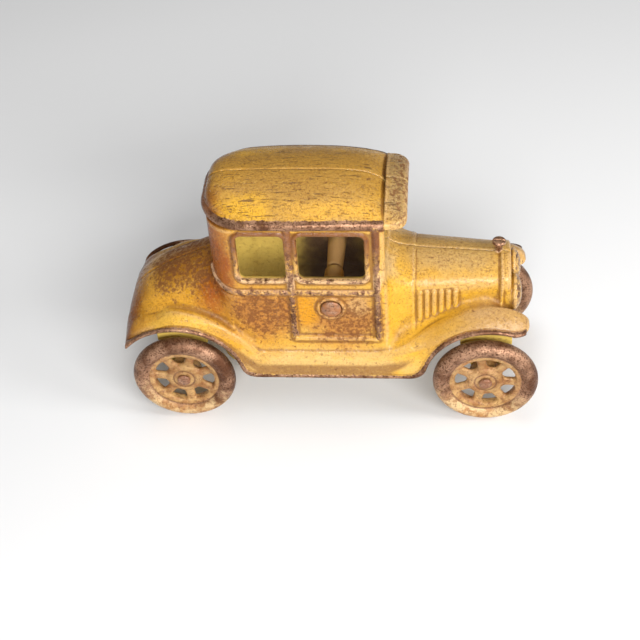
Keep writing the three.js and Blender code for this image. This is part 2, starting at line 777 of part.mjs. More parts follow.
// Wheel on the left side: tyre, rim, spokes and hub in one, with the hub's inner end against its hanger
function wheel(turn) {
  const rim = wheelRadius - 2 * tyreRadius;
  const face = rimWeb / 2;
  const profile = [[axleRadius + boreClearance, hubInner - trackHalf]];
  profile.push([hubRadius, hubInner - trackHalf], [hubRadius, -face], [rim, -face]);
  for (let i = 0; i <= 6; i++) {
    const angle = mix(-Math.PI * 0.7, Math.PI * 0.7, i / 6);
    profile.push([wheelRadius - tyreRadius + tyreRadius * Math.cos(angle), tyreRadius * Math.sin(angle)]);
  }
  profile.push([rim, face], [hubRadius + 0.8, face], [hubRadius, hubProud]);
  profile.push([axleRadius + boreClearance, hubProud], [axleRadius + boreClearance, hubInner - trackHalf]);
  let body = solid(turned(profile, wheelFacets, 'y'));
  const inner = hubRadius + rimWidth;
  const outer = rim - rimWidth;
  for (let i = 0; i < spokeCount; i++) {
    const half = Math.PI / spokeCount;
    const shape = new THREE.Shape();
    shape.absarc(0, 0, outer, -half + spokeWidth / 2 / outer, half - spokeWidth / 2 / outer);
    shape.absarc(0, 0, inner, half - spokeWidth / 2 / inner, -half + spokeWidth / 2 / inner, true);
    const angle = THREE.MathUtils.degToRad(turn) + 2 * half * i;
    const geometry = slab(shape, 2 * tyreRadius, 2);
    geometry.translate(0, 0, -tyreRadius).rotateZ(angle).rotateX(Math.PI / 2);
    body = body.subtract(solid(geometry));
  }
  return body;
}

// Rod with an upset head at each end, from one wheel to the other
function axle() {
  const end = hubOuter + sideFloat;
  const tip = end + axleHeadLength;
  const head = [
    [axleRadius, end],
    [axleHeadRadius, end],
    [axleHeadRadius, tip - axleHeadRound],
    [axleHeadRadius - axleHeadRound, tip],
  ];
  const mirrored = head.map(([r, t]) => [r, -t]).reverse();
  return solid(turned([[0, -tip], ...mirrored, ...head, [0, tip]], 14, 'y'));
}

function rivet() {
  const seat = cabHalf + sideFloat;
  const head = [
    [rivetRadius, seat],
    [rivetHeadRadius, seat],
    [rivetHeadRadius * 0.75, seat + rivetHeadRise * 0.7],
  ];
  const mirrored = head.map(([r, t]) => [r, -t]).reverse();
  const tip = seat + rivetHeadRise;
  return solid(turned([[0, -tip], ...mirrored, ...head, [0, tip]], 16, 'y'));
}

// Mesh of a solid, reflected to the right side of the car where asked
function piece(name, body, material, reflect) {
  const mesh = body.getMesh();
  const position = Float32Array.from(mesh.vertProperties);
  if (reflect) position.forEach((value, i) => { position[i] = i % 3 === 1 ? -value : value; });
  const order = Uint32Array.from(mesh.triVerts);
  if (reflect) order.reverse();
  const geometry = new THREE.BufferGeometry();
  geometry.setAttribute('position', new THREE.BufferAttribute(position, 3));
  geometry.setIndex(new THREE.BufferAttribute(order, 1));
  geometry.computeVertexNormals();
  const result = new THREE.Mesh(geometry, material);
  result.name = name;
  return result;
}

const wornPaint = new THREE.MeshStandardMaterial({ color: 0xc8983c, roughness: 0.5, metalness: 0.2 });
const wornIron = new THREE.MeshStandardMaterial({ color: 0x9a7a58, roughness: 0.5, metalness: 0.6 });
const steel = new THREE.MeshStandardMaterial({ color: 0x8a6a50, roughness: 0.5, metalness: 0.8 });

const toy = new THREE.Group();
toy.position.set((tailReach - wheelRadius) / 2, 0, wheelRadius);

toy.add(piece('body_half_right', bodyHalf(rightPostWall), wornPaint, true));
toy.add(piece('body_half_left', bodyHalf(leftPostWall), wornPaint, false));

const rivetMesh = piece('body_rivet', rivet(), steel, false);
rivetMesh.position.set(rivetX, 0, rivetHeight);
toy.add(rivetMesh);

const axles = { front: [frontAxleX, frontWheelTurn], rear: [rearAxleX, rearWheelTurn] };
for (const [end, [x, turn]] of Object.entries(axles)) {
  const rod = piece(`${end}_axle`, axle(), steel, false);
  rod.position.x = x;
  toy.add(rod);
  for (const [side, reflect] of [['right', true], ['left', false]]) {
    const roller = piece(`wheel_${end}_${side}`, wheel(turn), wornIron, reflect);
    roller.position.set(x, reflect ? -trackHalf : trackHalf, 0);
    toy.add(roller);
  }
}

export default toy;
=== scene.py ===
import math

import bpy
import numpy as np
from mathutils import Matrix, Vector


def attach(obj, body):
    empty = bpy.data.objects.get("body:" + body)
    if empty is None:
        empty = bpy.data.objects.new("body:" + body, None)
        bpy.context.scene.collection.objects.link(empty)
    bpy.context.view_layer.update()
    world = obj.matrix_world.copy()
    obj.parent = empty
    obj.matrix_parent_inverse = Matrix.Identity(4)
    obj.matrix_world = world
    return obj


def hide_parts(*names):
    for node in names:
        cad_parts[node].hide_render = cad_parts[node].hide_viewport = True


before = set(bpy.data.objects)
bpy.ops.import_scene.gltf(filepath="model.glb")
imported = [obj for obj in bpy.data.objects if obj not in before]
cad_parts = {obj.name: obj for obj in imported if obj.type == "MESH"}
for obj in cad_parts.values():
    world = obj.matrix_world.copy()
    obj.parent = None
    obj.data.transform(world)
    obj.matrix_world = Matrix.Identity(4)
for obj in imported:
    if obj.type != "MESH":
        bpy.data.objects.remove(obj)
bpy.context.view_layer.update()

# Hood, cowl and radiator shell of the body casting.
# The body is sand cast in iron as two hollow mirror halves. Each half is worked here as a field of distances
# to its skin, in millimetres above the axle line with x = 0 midway between the axles, so that fillets flow.
grain = 0.45
x = np.arange(-85.0, 79.0, grain, dtype=np.float32)[:, None, None]
y = np.arange(-1.35, 29.0, grain, dtype=np.float32)[None, :, None]
z = np.arange(-7.0, 86.0, grain, dtype=np.float32)[None, None, :]


def run_in(one, other, fillet):
    """Both forms together, with a fillet where they meet."""
    overlap = np.maximum(fillet - np.abs(one - other), 0) / fillet
    return np.minimum(one, other) - overlap * overlap * fillet / 4


def round_over(one, other, round_edge):
    """What both forms share, with a round edge where they meet."""
    return -run_in(-one, -other, round_edge)


def above(height):
    """Distance above a surface that is given by its height at each x and y."""
    slope_x, slope_y = np.gradient(height[:, :, 0], grain)
    return (z - height) / np.sqrt(1 + slope_x ** 2 + slope_y ** 2)[:, :, None]


def ease(start, end, place):
    part = np.clip((place - start) / (end - start), 0, 1)
    return part * part * (3 - 2 * part)


wall = 2.4
front_axle_x, rear_axle_x = 59.5, -59.5
cab_half, cab_front, cab_rear = 22.0, 21.5, -44.6
hood_rear, radiator_back, radiator_front = 32.0, 64.5, 68.5
hood_rear_half, hood_taper, crown_inset = 15.8, 3.8, 2.0
hood_rear_top, hood_fall = 46.8, 2.7
shoulder_rear_top, shoulder_fall, shoulder_round = 41.3, 0.9, 2.2
cowl_length, cowl_spread, cowl_rise, cowl_overlap = 10.5, 5.3, 2.8, 2.5
step_height, step_soft = 0.45, 0.4
radiator_bead, bead_ahead, bead_spread, radiator_round = 0.4, 0.5, 0.6, 1.0

along_hood = np.clip((x - hood_rear) / (radiator_front - hood_rear), 0, 1)
flare = np.clip((hood_rear - x) / cowl_length, 0, 1) ** 2
steps = ease(radiator_back - step_soft, radiator_back + step_soft, x) + 1
steps = steps - ease(hood_rear - step_soft, hood_rear + step_soft, x)
radiator_edge = np.exp(-((x - radiator_back - bead_ahead) / bead_spread) ** 2)
steps = step_height * steps + radiator_bead * radiator_edge
hood_side = hood_rear_half - hood_taper * along_hood
hood_half = hood_side + cowl_spread * flare + steps
hood_top = hood_rear_top - hood_fall * along_hood + cowl_rise * flare + steps
shoulder_top = shoulder_rear_top - shoulder_fall * along_hood + cowl_rise * flare + steps
hood_crown = hood_top - (hood_top - shoulder_top) * (y / (hood_half - crown_inset)) ** 2
hood = round_over(y - hood_half, above(hood_crown), shoulder_round)
hood = round_over(hood, x - radiator_front, radiator_round)
hood = np.maximum(hood, cab_front - cowl_overlap - x)

# Rear deck and tail of the body casting.
# The deck falls from the cab, is crowned across and rolls over into a tail that curves under. It is part of
# the half's one skin of painted iron, and no lid or seam shows on it but the joint along the middle.
tail_end, tail_bottom, tail_bow, tail_curve = -82.6, 13.5, 0.0012, 0.02
deck_half, deck_front_top, deck_slope, deck_crown = 21.2, 47.9, 0.42, 0.031
deck_round, deck_overlap = 9.0, 6
above_tail = np.maximum(z - tail_bottom, 0)
behind_tail = tail_end + tail_bow * y ** 2 + tail_curve * above_tail ** 2 - x
behind_tail = behind_tail / np.sqrt(1 + (2 * tail_curve * above_tail) ** 2)
deck_top = deck_front_top + deck_slope * (x - cab_rear) - deck_crown * y ** 2
deck = round_over(above(deck_top), behind_tail, deck_round)
deck = round_over(deck, y - deck_half, deck_round)
deck = np.maximum(deck, x - cab_rear - deck_overlap)

# Fenders and running boards of the body casting.
# One swept skirt runs over both wheels and along the cab, cast in one with it, with a thin lip along its
# lower edge. The skirt falls from its root at the body to a crest, and rolls over the crest to its edge.
skirt_half, skirt_round, board_bottom = 26.7, 2.5, 0.7
arch_radius, arch_round, front_arch_lead, rear_arch_lag = 25.0, 6.0, 1.5, 1.2
front_arch_x, rear_arch_x = front_axle_x + front_arch_lead, rear_axle_x - rear_arch_lag
nose_end, nose_bottom, nose_curve, nose_round = 75.8, 23.5, 0.09, 7.0
nose_drop, nose_drop_start, nose_drop_length = 9.0, 3, 10
rear_lead, rear_blend, front_sweep, fender_run = 1.5, 7.0, 46, 21
board_root_top, board_crest_top = 17.6, 13.5
rear_root_rise, front_root_rise = 5.3, 5.6
rear_crest_rise, front_crest_rise = 5.8, 6.6
tail_dip, tail_dip_x, tail_dip_length, tail_round = 1.2, -70, 6, 3.0
board_edge, rear_edge_flare, rear_edge_lead, front_edge_flare = 1.7, 0.22, 4.8, 7.0
board_edge_drop, fender_edge_drop = 4.5, 1.1
quarter_round, rear_root_inset, least_slope = 11.0, 4, 1.2
lip_up, lip_in, lip_round, lip_end = 1.1, 0.4, 0.9, 1.5
no_floor = -90


def swing(part):
    return (1 - np.cos(np.pi * np.clip(part, 0, 1))) / 2


def sweep(low, rear_radius, front_radius):
    """Height along the skirt: over the rear wheel, along the board, then up and over the front wheel."""
    rear = np.sqrt(np.maximum(rear_radius ** 2 - (x - rear_axle_x - rear_lead) ** 2, 0))
    rear = round_over(np.full_like(x, low), rear, rear_blend)
    front = front_radius + (low - front_radius) * swing((front_arch_x - x) / front_sweep)
    nose = np.sqrt(np.maximum(front_radius ** 2 - (x - front_arch_x) ** 2, 0))
    return np.where(x < 0, rear, np.where(x > front_arch_x, nose, front))


rear_share = swing((cab_rear + quarter_round - x) / quarter_round)
front_share = swing((x - cab_front) / fender_run)
edge_width = board_edge + rear_edge_flare * np.maximum(cab_rear + rear_edge_lead - x, 0)
edge_width = edge_width + front_edge_flare * front_share
edge_drop = board_edge_drop + fender_edge_drop * (rear_share + front_share)
to_front = np.clip((x - cab_front) / cowl_length, 0, 1)
to_rear = np.clip((cab_rear + quarter_round - x) / quarter_round, 0, 1)
crest = skirt_half - edge_width
root = cab_half + (hood_side - cab_half) * to_front * (2 - to_front)
root = root + (cab_half - rear_root_inset - root) * to_rear
root = np.minimum(root, crest - least_slope)
nose_fall = nose_drop * np.clip((x - front_arch_x + nose_drop_start) / nose_drop_length, 0, 1) ** 2
root_height = sweep(board_root_top, arch_radius + rear_root_rise, arch_radius + front_root_rise) - nose_fall
crest_height = sweep(board_crest_top, arch_radius + rear_crest_rise, arch_radius + front_crest_rise)
crest_height = crest_height - tail_dip * np.exp(-((x - tail_dip_x) / tail_dip_length) ** 2)
across = np.clip((y - root) / (crest - root), -0.5, 1)
over_edge = np.clip((y - crest) / edge_width, 0, 1.1)
fore_nose = np.maximum(z - nose_bottom, 0)
fore_nose = (x - nose_end + nose_curve * fore_nose ** 2) / np.sqrt(1 + (2 * nose_curve * fore_nose) ** 2)
outside = round_over(round_over(y - skirt_half, behind_tail, tail_round), fore_nose, nose_round)
apron_top = root_height + (crest_height - root_height) * across - edge_drop * over_edge ** 2
apron = round_over(outside, above(apron_top), skirt_round)
apron = np.maximum(apron, root - wall - y)

to_rear_arch = arch_radius - np.hypot(x - rear_arch_x, z)
to_front_arch = arch_radius - np.hypot(x - front_arch_x, z)
end_floor = np.where(x > front_arch_x, nose_bottom - z, no_floor)
end_floor = np.where(x < rear_arch_x, tail_bottom - z, end_floor)
below_edge = round_over(np.maximum(to_rear_arch, to_front_arch), board_bottom - z, arch_round)
below_edge = np.maximum(below_edge, end_floor)
lip = np.hypot(below_edge + lip_up, outside + lip_in) - lip_round
lip = np.maximum(lip, np.maximum(tail_end + lip_end - x, x - nose_end + lip_end))

# Cab of the body casting.
# Upright walls of the same painted iron, with wide round rear corners and tight front ones. The cab is open
# below, and the hood, deck and fenders run into it with fillets.
cab_top, front_corner = 72.2, 2.5


def corner(past_end, past_side, radius):
    """Distance to an upright round corner between an end and a side."""
    past_end, past_side = past_end + radius, past_side + radius
    round_part = np.hypot(np.maximum(past_end, 0), np.maximum(past_side, 0))
    return round_part + np.minimum(np.maximum(past_end, past_side), 0) - radius


rear_plan = corner(cab_rear - x, y - cab_half, quarter_round)
cab_plan = np.maximum(rear_plan, corner(x - cab_front, y - cab_half, front_corner))
cab = np.maximum(cab_plan, z - cab_top)

# Roof and visor of the body casting.
# A low dome inside a heavy round edge band that overhangs the cab, and a short visor that droops over the
# windscreen, all cast with the half. Hands have rubbed the band bare, but for its middle above the visor.
roof_half, roof_rear, roof_front, roof_peak = 24.7, -47.0, 23.5, -11.55
roof_bow, roof_rear_corner, roof_front_corner = 2.8, 17.0, 4.0
roof_top, roof_front_fall, roof_rear_fall = 83.78, 4.0, 1.1
dome_rise, dome_front_fall, dome_sink, dome_inset, dome_round = 6.5, 1.3, 0.4, 1.6, 1.3
dome_rear_run, dome_edge_run = 4.5, 24.0
band_round, band_fillet = 2.0, 0.6
clean_front, clean_half, clean = 3.5, 18, 9
ahead = np.maximum(x - roof_peak, 0) / (roof_front - roof_peak)
behind = np.maximum(roof_peak - x, 0) / (roof_peak - roof_rear)
barrel = roof_half - roof_bow * ((x - roof_peak) / (roof_front - roof_peak)) ** 2
roof_plan = corner(roof_rear - x, y - barrel, roof_rear_corner)
roof_plan = np.maximum(roof_plan, corner(x - roof_front, y - barrel, roof_front_corner))
rise = dome_rise - dome_front_fall * ahead ** 4
crease = roof_top - roof_front_fall * ahead ** 4 - roof_rear_fall * behind ** 2 - rise
from_rear = np.clip((x - roof_rear) / dome_rear_run, 0, 1)
roof_edge = np.clip(1 + roof_plan / dome_edge_run, 0, 1)
dome = (rise + dome_sink) * np.sqrt(from_rear * (2 - from_rear))
dome = dome * (1 - (y / barrel) ** 2) * (1 - roof_edge ** 8)
roof = round_over(above(crease - dome_sink + dome), roof_plan + dome_inset, dome_round)
roof = np.maximum(roof, crease - 2 * band_round - z)
band = np.hypot(roof_plan + band_round, z - crease + band_round) - band_round
roof = run_in(roof, band, band_fillet)
rubbed_band = np.where((x > roof_front - clean_front) & (y < clean_half), clean, band)

visor_half, visor_front, visor_reach, visor_height = 21.9, 29.8, 6.3, 80.0
visor_droop, visor_crown, visor_corner, visor_round, visor_overlap = 2.3, 5.6, 6.0, 1.4, 2
visor_out = np.clip((x - roof_front) / visor_reach, -0.5, 1)
visor_top = visor_height - visor_droop * visor_out * np.abs(visor_out)
visor_top = visor_top - visor_crown * (y / visor_half) ** 2
visor = np.abs(above(visor_top - wall / 2)) - wall / 2
visor = round_over(visor, corner(x - visor_front, y - visor_half, visor_corner), visor_round)
visor = np.maximum(visor, roof_front - visor_overlap - x)

# Drum lamps and radiator cap of the body casting.
# Each half carries one lamp beside the radiator, a tapering bowl with a round face, and half of the radiator
# cap. Both are solid lumps of the casting and were painted over with it.
lamp_y, lamp_z, lamp_radius, lamp_back = 7.4, 30.2, 7.0, 69.3
bowl_length, bowl_radius, bowl_scale, bowl_end = 8.5, 6.4, 6.2, 0.5
rim_half, rim_round = 0.6, 0.7
lens_depth, lens_radius, lens_seat, lens_back, lens_fillet = 2.9, 6.8, 0.8, 0.4, 0.6
spot = np.hypot(y - lamp_y, z - lamp_z)
bowl = (np.hypot((x - lamp_back) / bowl_length, spot / bowl_radius) - 1) * bowl_scale
bowl = np.maximum(bowl, x - lamp_back - bowl_end)
rim = round_over(spot - lamp_radius, np.abs(x - lamp_back - rim_half) - rim_half, rim_round)
lens = (np.hypot((x - lamp_back - lens_seat) / lens_depth, spot / lens_radius) - 1) * lens_depth
lens = np.maximum(lens, lamp_back + lens_back - x)
lamp = run_in(np.minimum(bowl, rim), lens, lens_fillet)

cap_x, cap_radius, cap_z, cap_half, cap_round = 63.8, 2.7, 48.9, 0.9, 1.0
neck_radius, neck_z, neck_half, neck_fillet = 1.3, 46, 2.6, 0.6
neck_flare, neck_flare_start, neck_flare_height = 0.22, 45.5, 3
from_cap = np.hypot(x - cap_x, y)
cap = round_over(from_cap - cap_radius, np.abs(z - cap_z) - cap_half, cap_round)
neck = neck_radius + neck_flare * np.clip(z - neck_flare_start, 0, neck_flare_height)
cap = run_in(cap, np.maximum(from_cap - neck, np.abs(z - neck_z) - neck_half), neck_fillet)

# Beads, window frames, louvres and rivet ring of the body casting.
# Half-round beads draw the door and run round the belt, which sweeps up at the rear corner. Frames edge the
# windows, six ribs stand for the hood's louvres, and a raised ring on the door takes the rivet's head.
door_front, door_rear, door_bottom = 18.3, -14.0, 19.3
bead_round, bead_stand, pillar_top, bead_level = 1.2, 0.9, 74, 45
hood_fillet, deck_fillet, roof_fillet = 2.5, 2.0, 0.8
apron_fillet, rear_fillet_loss = 4.5, 2.5
skin = run_in(run_in(hood, cab, hood_fillet), deck, deck_fillet)
skin = run_in(skin, apron, apron_fillet - rear_fillet_loss * rear_share)
skin = run_in(skin, roof, roof_fillet)
skin = np.where(z < bead_level, np.maximum(skin, behind_tail), skin)
bead_depth = np.where(z < bead_level, skin, cab_plan) + bead_round - bead_stand


def panel(left, bottom, right, top, radius):
    """Distance to the outline of an upright panel with round corners."""
    over_x = np.abs(x - (left + right) / 2) - (right - left) / 2 + radius
    over_z = np.abs(z - (bottom + top) / 2) - (top - bottom) / 2 + radius
    round_part = np.hypot(np.maximum(over_x, 0), np.maximum(over_z, 0))
    return round_part + np.minimum(np.maximum(over_x, over_z), 0) - radius


belt_low, belt_rise, belt_width = 42.0, 6.0, 0.93
belt_full_turn, belt_last_turn, belt_end_turn = 75, 80, 78
across_corner = np.maximum(y - cab_half + quarter_round, 0.01)
turn = np.degrees(np.arctan2(np.maximum(cab_rear + quarter_round - x, 0), across_corner))
belt_height = belt_low + belt_rise * (np.minimum(turn, belt_last_turn) / belt_full_turn) ** 2
belt = np.hypot(bead_depth, (z - belt_height) * belt_width) - bead_round
belt = np.maximum(np.maximum(belt, turn - belt_end_turn), x - door_front)
pillars = np.minimum(np.hypot(bead_depth, x - door_rear), np.hypot(bead_depth, x - door_front)) - bead_round
pillars = np.maximum(pillars, np.maximum(door_bottom - z, z - pillar_top))
door_sill = np.hypot(bead_depth, z - door_bottom) - bead_round
door_sill = np.maximum(door_sill, np.maximum(door_rear - x, x - door_front))
beads = np.minimum(np.minimum(belt, pillars), door_sill)

window_bottom, window_top, window_round = 48.6, 69.8, 2.2
door_glass_rear, door_glass_front, quarter_glass_rear, quarter_glass_front = -10.7, 13.9, -33.0, -15.6
frame_out, frame_half, frame_stand, frame_round = 0.75, 1.05, 0.8, 0.9
door_window = panel(door_glass_rear, window_bottom, door_glass_front, window_top, window_round)
quarter_window = panel(quarter_glass_rear, window_bottom, quarter_glass_front, window_top, window_round)
windows = np.minimum(door_window, quarter_window)
frames = np.abs(windows - frame_out) - frame_half
frames = round_over(frames, np.abs(y - cab_half) - frame_stand, frame_round)

louvre_count, louvre_start, louvre_pitch, louvre_radius = 6, 2, 2.7, 1.1
louvre_bottom, louvre_climb, louvre_top = 23.6, 1.2, 36.4
louvres = np.full(np.broadcast_shapes(x.shape, y.shape, z.shape), 50, np.float32)
for number in range(louvre_count):
    louvre_x = hood_rear + louvre_start + louvre_pitch * number
    louvre_y = hood_rear_half - hood_taper * (louvre_x - hood_rear) / (radiator_front - hood_rear)
    beyond = z - np.clip(z, louvre_bottom + louvre_climb * number, louvre_top)
    louvre = np.sqrt((x - louvre_x) ** 2 + (y - louvre_y) ** 2 + beyond ** 2) - louvre_radius
    louvres = np.minimum(louvres, louvre)

rivet_x, rivet_z = 0.5, 34.3
ring_radius, ring_half, ring_stand, ring_round = 4.8, 0.6, 0.9, 0.7
from_rivet = np.hypot(x - rivet_x, z - rivet_z)
ring = np.abs(from_rivet - ring_radius) - ring_half
ring = round_over(ring, np.abs(y - cab_half) - ring_stand, ring_round)

# The two halves, hollowed, cut and parted.
# Under the painted skin both are hollow to one wall thickness. Webs under the fenders carry the axles, and a
# post from each door takes the rivet that holds the halves together. The joint is a fine groove in the middle.
inner_wall_front, inner_wall_y, inner_wall_bottom, inner_wall_top = -20, 12, 4, 40
foot_half, foot_z, foot_half_height = 12.2, 22, 8
window_inner, screen_half, screen_bottom, screen_back = 17.4, 17.7, 50.8, 16.7
rear_glass_half, rear_glass_bottom, rear_glass_front = 8.5, 57.8, -38.5
web_y, web_foot, web_head, web_rise, web_slant = 18.3, 5, 10, 13, 0.93
axle_bore, rivet_bore, rivet_seat = 1.9, 2.2, 4.2
post_start, post_end, post_draft, post_round = 0.4, 21, 0.035, 1.5
seam_half, seam_round = 0.06, 0.3
edge_round, glass_round, inner_wall_fillet, visor_fillet, lamp_fillet = 0.9, 0.7, 1.0, 0.6, 0.8
bead_fillet, louvre_fillet, web_fillet, post_fillet = 0.6, 0.5, 0.8, 0.9

shell = np.maximum(skin, -(skin + wall))
shell = round_over(shell, below_edge, edge_round)
inner_wall = np.maximum(x - inner_wall_front, np.maximum(inner_wall_y - y, z - inner_wall_top))
inner_wall = np.maximum(np.abs(cab_plan + wall / 2) - wall / 2, inner_wall)
inner_wall = np.maximum(inner_wall, inner_wall_bottom - z)
shell = run_in(shell, np.maximum(inner_wall, skin), inner_wall_fillet)
radiator_foot = np.maximum(np.abs(x - radiator_front + wall / 2) - wall / 2, y - foot_half)
shell = np.minimum(shell, np.maximum(radiator_foot, np.abs(z - foot_z) - foot_half_height))
shell = run_in(shell, np.maximum(visor, -(skin + wall)), visor_fillet)
shell = run_in(shell, np.minimum(lamp, cap), lamp_fillet)
shell = run_in(shell, np.minimum(beads, np.minimum(ring, frames)), bead_fillet)
shell = run_in(shell, np.minimum(louvres, lip), louvre_fillet)
shell = round_over(shell, -np.maximum(windows, window_inner - y), glass_round)
screen = np.maximum(np.abs(y) - screen_half, np.maximum(screen_bottom - z, z - window_top))
shell = np.maximum(shell, -np.maximum(screen, np.maximum(screen_back - x, x - roof_front)))
rear_glass = np.maximum(np.abs(y) - rear_glass_half, np.maximum(rear_glass_bottom - z, z - window_top))
shell = np.maximum(shell, -np.maximum(rear_glass, np.maximum(roof_rear - x, x - rear_glass_front)))
for axle_x in (rear_axle_x, front_axle_x):
    taper = np.clip(web_foot + (web_head - web_foot) * z / web_rise, web_foot, web_head)
    upper_web = (np.abs(x - axle_x) - taper) * web_slant
    web = np.where(z < 0, np.hypot(x - axle_x, z) - web_foot, upper_web)
    web = np.maximum(np.maximum(web, np.abs(y - web_y) - wall / 2), skin + 1)
    shell = np.maximum(run_in(shell, web, web_fillet), axle_bore - np.hypot(x - axle_x, z))
shell = np.maximum(shell, -np.maximum(from_rivet - rivet_seat, cab_half - y))


def half_field(post_wall):
    post = from_rivet - rivet_bore - post_wall - post_draft * y
    post = np.maximum(post, np.maximum(y - post_end, post_start - y))
    half = run_in(shell, round_over(post, post_start - y, post_round), post_fillet)
    half = np.maximum(half, rivet_bore - from_rivet)
    return round_over(half, seam_half - y, seam_round)


def skinned(field, origin, step):
    """Corners and quads of the surface where the field is nought, one corner in each cell it passes through."""
    inside = field < 0
    offsets = [(i, j, k) for i in (0, 1) for j in (0, 1) for k in (0, 1)]
    cells = [field[i:i - 1 or None, j:j - 1 or None, k:k - 1 or None] for i, j, k in offsets]
    count = sum((cell < 0).astype(np.int8) for cell in cells)
    crossed = (count > 0) & (count < 8)
    number = np.full(crossed.shape, -1, np.int64)
    number[crossed] = np.arange(crossed.sum())
    values = [cell[crossed] for cell in cells]
    places = np.array(offsets, float)
    total, hits = np.zeros((len(values[0]), 3)), np.zeros(len(values[0]))
    for a in range(8):
        for b in range(a + 1, 8):
            if np.abs(places[a] - places[b]).sum() == 1:
                cut = (values[a] < 0) != (values[b] < 0)
                share = np.where(cut, values[a] / np.where(cut, values[a] - values[b], 1), 0)
                total += cut[:, None] * (places[a] + share[:, None] * (places[b] - places[a]))
                hits += cut
    corners = (np.argwhere(crossed) + total / hits[:, None]) * step + origin
    quads = []
    for axis in range(3):
        other, third = (axis + 1) % 3, (axis + 2) % 3
        low = np.take(inside, range(inside.shape[axis] - 1), axis)
        high = np.take(inside, range(1, inside.shape[axis]), axis)
        edge = np.argwhere(low != high)
        for way in (other, third):
            edge = edge[(edge[:, way] > 0) & (edge[:, way] < inside.shape[way] - 1)]
        around = []
        for back in ((1, 1), (0, 1), (0, 0), (1, 0)):
            cell = edge.copy()
            cell[:, other] -= back[0]
            cell[:, third] -= back[1]
            around.append(number[tuple(cell.T)])
        quad = np.stack(around, 1)
        outward = low[tuple(edge.T)]
        quads.append(np.where(outward[:, None], quad, quad[:, ::-1]))
    return corners, np.concatenate(quads)


def cast_piece(name, corners, quads):
    mesh = bpy.data.meshes.new(name)
    mesh.vertices.add(len(corners))
    mesh.vertices.foreach_set("co", np.ascontiguousarray(corners, np.float32).ravel())
    mesh.loops.add(quads.size)
    mesh.loops.foreach_set("vertex_index", np.ascontiguousarray(quads, np.int32).ravel())
    mesh.polygons.add(len(quads))
    mesh.polygons.foreach_set("loop_start", np.arange(0, quads.size, 4, dtype=np.int32))
    mesh.polygons.foreach_set("use_smooth", np.ones(len(quads), bool))
    mesh.update(calc_edges=True)
    piece = bpy.data.objects.new(name, mesh)
    bpy.context.scene.collection.objects.link(piece)
    return piece


def blurred(field, cells):
    for axis in range(3):
        field = sum(np.roll(field, shift, axis) for shift in range(-cells, cells + 1)) / (2 * cells + 1)
    return field


def read_at(field, places):
    """The field's value at each place, which is counted in cells."""
    low = np.floor(places).astype(int)
    part = places - low
    total = np.zeros(len(places))
    for i in (0, 1):
        for j in (0, 1):
            for k in (0, 1):
                share = np.abs(1 - i - part[:, 0]) * np.abs(1 - j - part[:, 1]) * np.abs(1 - k - part[:, 2])
                total += share * field[low[:, 0] + i, low[:, 1] + j, low[:, 2] + k]
    return total


def mark(piece, name, values):
    layer = piece.data.attributes.new(name, "FLOAT", "POINT")
    layer.data.foreach_set("value", np.ascontiguousarray(values, np.float32))


middle_x, axle_height = 1.3, 20.5
metre = 0.001
right_post_wall, left_post_wall = 1.5, 0.9
edge_reach, form_reach, edge_full, form_full = 2, 7, 0.14, 0.5
seam_clear, seam_fade, rub_fade, inside_depth, inside_fade = 2.2, 1.2, 0.45, 0.8, 0.6
rub_shares = ((rubbed_band, 1.0), (lip, 1.0), (pillars, 0.72), (belt, 0.6), (frames, 0.5), (cap, 0.8),
              (np.minimum(rim, lens), 0.55))
whole = np.minimum(np.minimum(skin, visor), np.minimum(lamp, cap))
broad = blurred(whole, form_reach) - whole
grid_start = np.array([x[0, 0, 0], y[0, 0, 0], z[0, 0, 0]], float)
halves = []
for name, post_wall, side in (("body_half_right", right_post_wall, -1), ("body_half_left", left_post_wall, 1)):
    field = half_field(post_wall)
    corners, quads = skinned(field, grid_start, grain)
    places = (corners - grid_start) / grain
    corners = (corners + (middle_x, 0.0, axle_height)) * (metre, metre * side, metre)
    half = cast_piece("casting_" + name, corners, quads if side > 0 else quads[:, ::-1])
    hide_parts(name)
    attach(half, "body")
    off_seam = np.clip((places[:, 1] * grain - seam_clear) / seam_fade, 0, 1)
    mark(half, "edge", off_seam * np.clip(read_at(blurred(field, edge_reach), places) / edge_full, -1, 1))
    mark(half, "form", np.clip(read_at(broad, places) / form_full, -1, 1))
    rubs = np.zeros(len(places))
    for form, share in rub_shares:
        rubs = np.maximum(rubs, share * np.clip(1 - read_at(form, places) / rub_fade, 0, 1))
    mark(half, "rubbed", rubs)
    mark(half, "inside", np.clip((-inside_depth - read_at(whole, places)) / inside_fade, 0, 1))
    halves.append(half)


def put(tree, node, inputs):
    """Sets or links each named input of the node."""
    for key, value in inputs.items():
        if isinstance(value, bpy.types.NodeSocket):
            tree.links.new(value, node.inputs[key])
        else:
            node.inputs[key].default_value = value


def add(tree, kind, inputs=None, **settings):
    made = tree.nodes.new(kind)
    for key, value in settings.items():
        setattr(made, key, value)
    put(tree, made, inputs or {})
    return made


def millimetres(tree, scale=(1, 1, 1)):
    place = add(tree, "ShaderNodeTexCoord").outputs["Object"]
    scaled = {"Vector": place, "Scale": [1000 * s for s in scale]}
    return add(tree, "ShaderNodeMapping", scaled).outputs["Vector"]


def clouds(tree, place, scale, detail, roughness=0.55):
    settings = {"Vector": place, "Scale": scale, "Detail": detail, "Roughness": roughness}
    return add(tree, "ShaderNodeTexNoise", settings).outputs["Fac"]


def span(tree, value, low, high):
    limits = {"Value": value, "From Min": low, "From Max": high}
    return add(tree, "ShaderNodeMapRange", limits, interpolation_type="SMOOTHSTEP").outputs["Result"]


def sums(tree, operation, one, other):
    return add(tree, "ShaderNodeMath", {0: one, 1: other}, operation=operation).outputs["Value"]


def plus(tree, one, other):
    return sums(tree, "ADD", one, other)


def minus(tree, one, other):
    return sums(tree, "SUBTRACT", one, other)


